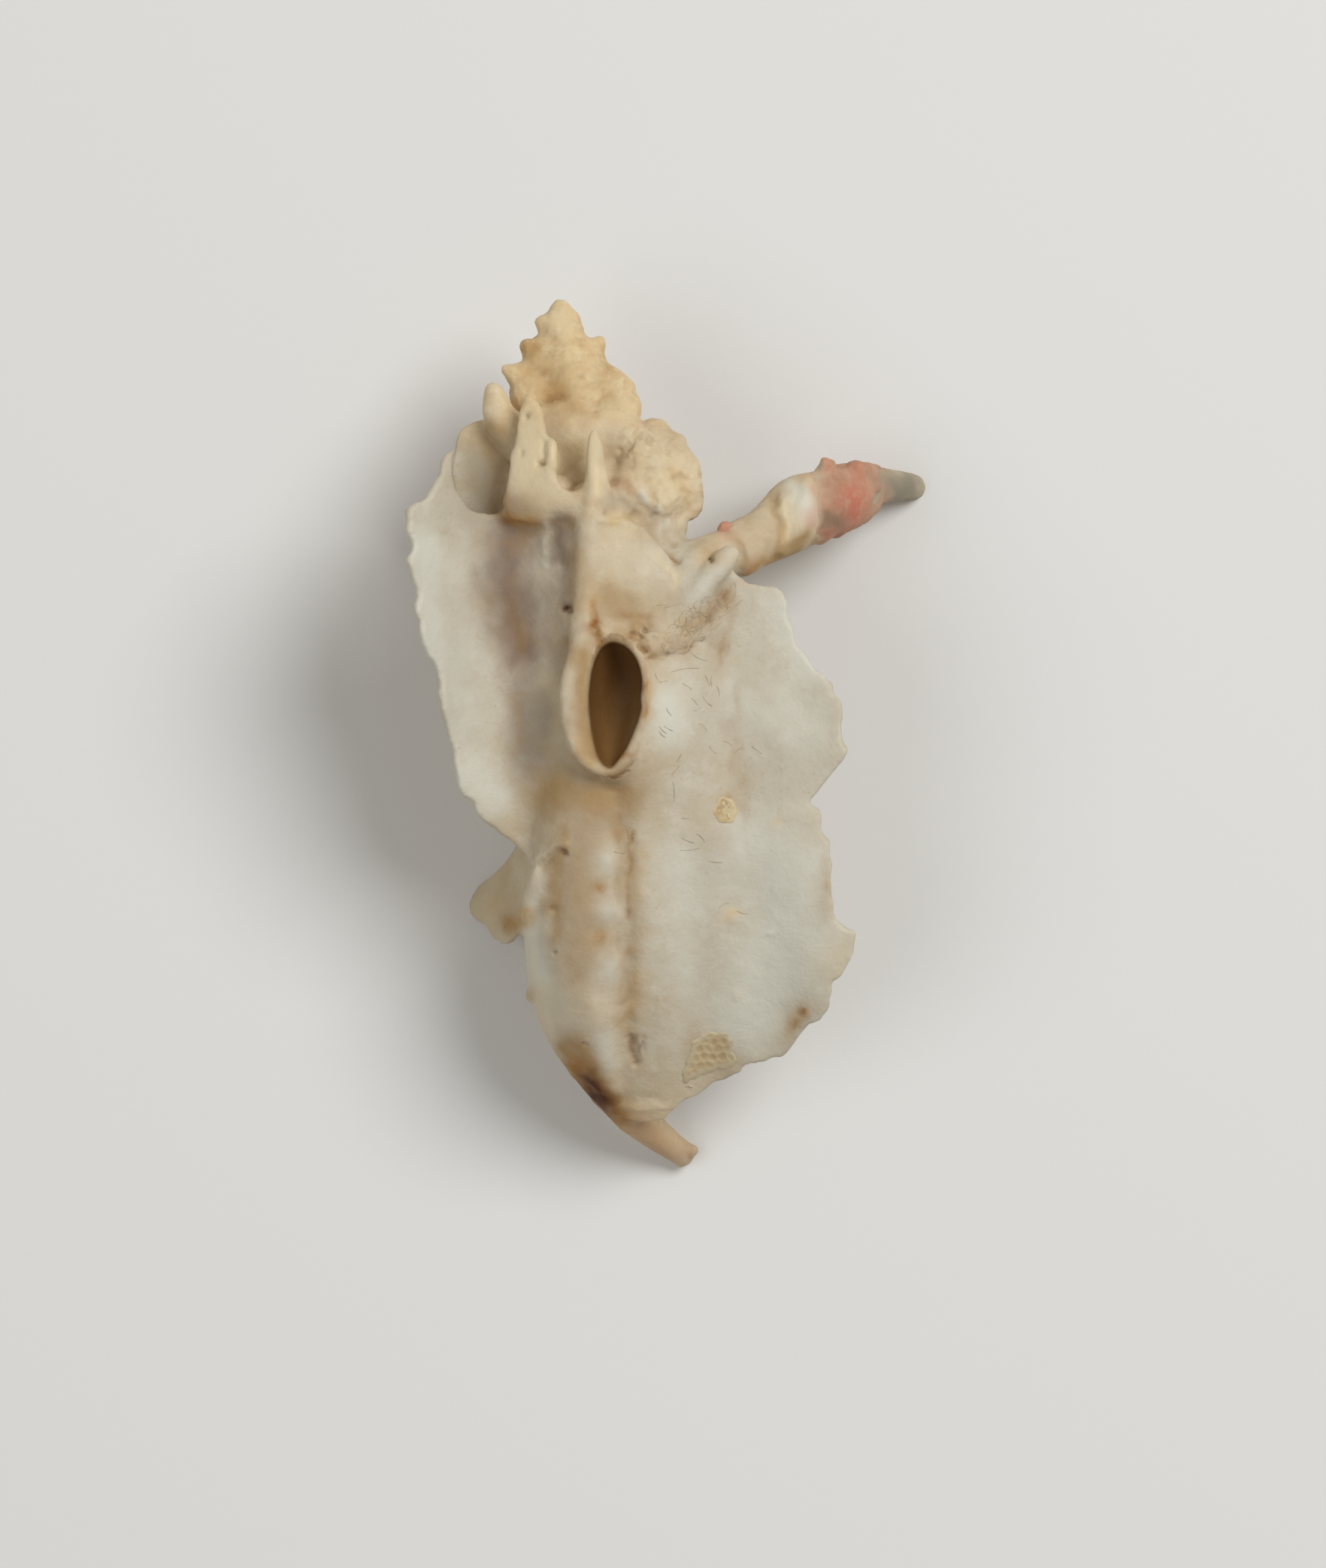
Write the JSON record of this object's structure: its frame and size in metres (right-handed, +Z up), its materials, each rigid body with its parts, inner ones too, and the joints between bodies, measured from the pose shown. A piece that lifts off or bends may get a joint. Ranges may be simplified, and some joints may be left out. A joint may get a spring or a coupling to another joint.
{
  "type": "murex shell",
  "caption": "Small worn murex shell with broad thin wings, an oval raised aperture, a bent canal and one long crusted shoulder spine.",
  "frame": {"origin": "under the middle of the bounding box, on the floor that the shell rests on", "axes": "+Y along the shell toward the apex, +Z up with the aperture facing up, +X toward the right wing"},
  "size_m": [0.0208, 0.0348, 0.0117],
  "materials": {
    "shell_aragonite": "worn ivory shell, satin",
    "red_crust": "rough salmon crust",
    "sea_mat": "tan honeycomb crust",
    "base_disc": "cream chalky disc"
  },
  "bodies": {
    "root": {"shell": "shell_aragonite", "red_crust": "red_crust", "red_bead": "red_crust", "sea_mat": "sea_mat", "base_disc": "base_disc"}
  },
  "joints": []
}
